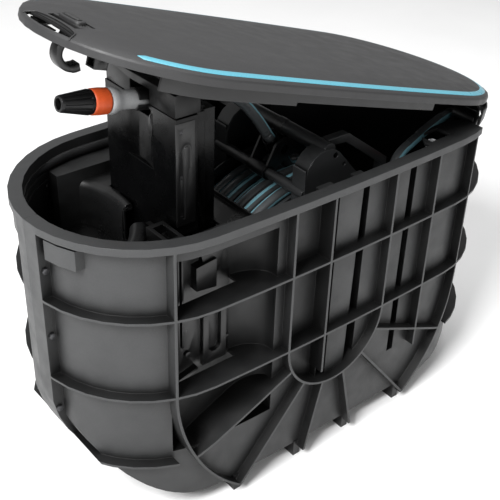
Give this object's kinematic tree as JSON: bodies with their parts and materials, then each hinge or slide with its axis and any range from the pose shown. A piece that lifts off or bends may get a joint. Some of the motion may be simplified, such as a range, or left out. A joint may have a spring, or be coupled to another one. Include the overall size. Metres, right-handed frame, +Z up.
{
  "type": "in-ground garden hose reel box",
  "caption": "Long oval ribbed box with a hinged lid held open, a raised tower that holds a spray nozzle, and a wide hose drum with its guide inside.",
  "frame": {"origin": "on the ground, below the middle of the box's rim", "axes": "+X along the box towards the lid's hinge, +Y across it away from the inlet side, +Z up"},
  "size_m": [0.885, 0.402, 0.7907],
  "materials": {
    "shell_plastic": "moulded dark grey polypropylene, fine grain",
    "lid_plastic": "moulded dark grey, fine grain",
    "band_plastic": "light blue inlay, satin",
    "inner_plastic": "black-grey moulded",
    "tower_plastic": "black moulded",
    "head_plastic": "dark grey moulded",
    "ball_plastic": "black, polished by the hose",
    "bush_plastic": "natural acetal",
    "zinc_steel": "zinc plated",
    "spring_steel": "rolled spring strip",
    "belt_rubber": "matt",
    "hose_grey": "grey hose with light blue stripes",
    "nozzle_grey": "silver grey",
    "nozzle_black": "black fluted",
    "grip_rubber": "soft ribbed",
    "orange_plastic": "orange",
    "coupling_orange": "orange-red",
    "inlet_white": "light grey",
    "collar_red": "red"
  },
  "bodies": {
    "box": {"shell_near": "shell_plastic", "shell_far": "shell_plastic", "shell_bolts": "zinc_steel", "tower_brackets": "inner_plastic", "tray": "inner_plastic", "tower_guide": "inner_plastic", "hinge_bracket": "inner_plastic", "hinge_pin": "zinc_steel", "hinge_covers": "inner_plastic", "inlet_fitting": "inlet_white", "inlet_collar": "collar_red", "inlet_valve": "inner_plastic", "feed_hose": "hose_grey", "swivel_elbow": "inner_plastic", "stand_near": "inner_plastic", "stand_far": "inner_plastic", "stand_brace": "inner_plastic", "stand_bolts": "zinc_steel", "axle_bushes": "bush_plastic", "spring_case": "inner_plastic", "spring_cap": "inner_plastic", "mainspring": "spring_steel", "drive_belt": "belt_rubber", "pawl_pin": "zinc_steel"},
    "lid": {"lid_shell": "lid_plastic", "lid_band": "band_plastic", "lid_frame": "inner_plastic", "lid_catch_plate": "inner_plastic"},
    "latch": {"latch_button": "lid_plastic", "latch_hook": "inner_plastic"},
    "slat_upper": {"slat_upper": "lid_plastic"},
    "slat_lower": {"slat_lower": "lid_plastic"},
    "tower": {"tower_column": "tower_plastic", "tower_panel": "inner_plastic", "tower_head": "head_plastic", "tower_leaf": "inner_plastic", "tower_bolts": "zinc_steel", "nozzle_body": "nozzle_grey", "nozzle_collar": "orange_plastic", "nozzle_grip": "grip_rubber", "nozzle_coupling": "coupling_orange", "hose_lead": "hose_grey"},
    "nozzle_head": {"nozzle_head": "nozzle_black"},
    "drum": {"drum_core": "hose_grey", "drum_hub": "inner_plastic", "axle": "zinc_steel", "hose_winding": "hose_grey", "ratchet_wheel": "zinc_steel", "drum_pulley": "inner_plastic"},
    "guide_screw": {"guide_screw": "zinc_steel", "screw_pulley": "inner_plastic"},
    "carriage": {"guide_carriage": "inner_plastic"},
    "guide_ball": {"guide_ball": "ball_plastic"},
    "pawl": {"pawl": "zinc_steel"}
  },
  "joints": [
    {"name": "lid_hinge", "type": "hinge", "parent": "box", "child": "lid", "pos_m": [0.42, 0, 0.537], "axis": [0, 1, 0], "range_deg": [-17, 0]},
    {"name": "latch_slide", "type": "slide", "parent": "lid", "child": "latch", "axis": [-0.9563, 0, 0.2924], "range_m": [0, 0.006]},
    {"name": "slat_upper_hinge", "type": "hinge", "parent": "box", "child": "slat_upper", "pos_m": [0.42, 0, 0.537], "axis": [0, 1, 0], "range_deg": [-12.75, 0]},
    {"name": "slat_lower_hinge", "type": "hinge", "parent": "box", "child": "slat_lower", "pos_m": [0.42, 0, 0.537], "axis": [0, 1, 0], "range_deg": [-6.46, 0]},
    {"name": "tower_lift", "type": "slide", "parent": "box", "child": "tower", "axis": [0, 0, 1], "range_m": [-0.205, 0], "deforming": ["hose_lead"]},
    {"name": "nozzle_twist", "type": "hinge", "parent": "tower", "child": "nozzle_head", "pos_m": [-0.212, 0, 0.646], "axis": [-0.9816, 0, 0.1908], "range_deg": [0, 120]},
    {"name": "drum_spin", "type": "hinge", "parent": "box", "child": "drum", "pos_m": [0.038, 0, 0.255], "axis": [0, 1, 0], "continuous": true},
    {"name": "screw_spin", "type": "hinge", "parent": "box", "child": "guide_screw", "pos_m": [0.058, 0, 0.505], "axis": [0, 1, 0], "continuous": true},
    {"name": "carriage_slide", "type": "slide", "parent": "box", "child": "carriage", "axis": [0, 1, 0], "range_m": [-0.06, 0.06]},
    {"name": "ball_tilt", "type": "hinge", "parent": "carriage", "child": "guide_ball", "pos_m": [0.014, 0, 0.505], "axis": [0, 1, 0], "range_deg": [-8, 8]},
    {"name": "pawl_hinge", "type": "hinge", "parent": "box", "child": "pawl", "pos_m": [0.1, 0.098, 0.31], "axis": [0, 1, 0], "range_deg": [0, 3]}
  ],
  "couplings": [
    {"joint": "slat_upper_hinge", "follows": "lid_hinge", "ratio": 0.75},
    {"joint": "slat_lower_hinge", "follows": "lid_hinge", "ratio": 0.38},
    {"joint": "tower_lift", "follows": "lid_hinge", "m_per_rad": 0.69092},
    {"joint": "screw_spin", "follows": "drum_spin", "ratio": 3.3333}
  ]
}
